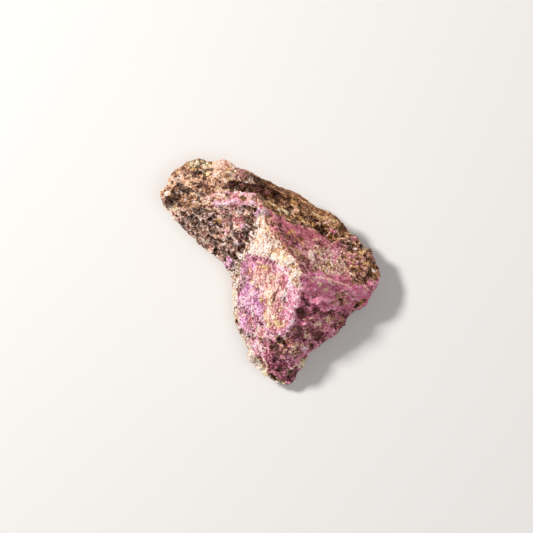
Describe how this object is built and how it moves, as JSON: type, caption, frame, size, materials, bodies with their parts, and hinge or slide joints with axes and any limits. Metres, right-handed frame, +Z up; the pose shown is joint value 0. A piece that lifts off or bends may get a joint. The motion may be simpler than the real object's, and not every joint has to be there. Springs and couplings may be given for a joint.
{
  "type": "rough purpurite specimen",
  "caption": "Rough broken mineral hand specimen: a high ridge between sloping purple faces, a pale wedge on its crest and a pitted brown lobe at one end.",
  "frame": {"origin": "middle of the bounding box in plan, on the plane the stone rests on", "axes": "+Z up from the resting plane, +X and +Y right and up in the view from above, with the pitted lobe towards -X +Y and the narrow tip towards -Y"},
  "size_m": [0.062, 0.064, 0.0249],
  "materials": {
    "purpurite": "rough broken mineral, dull with a faint sheen on the cleavage faces"
  },
  "bodies": {
    "root": {"purpurite_stone": "purpurite"}
  },
  "joints": []
}
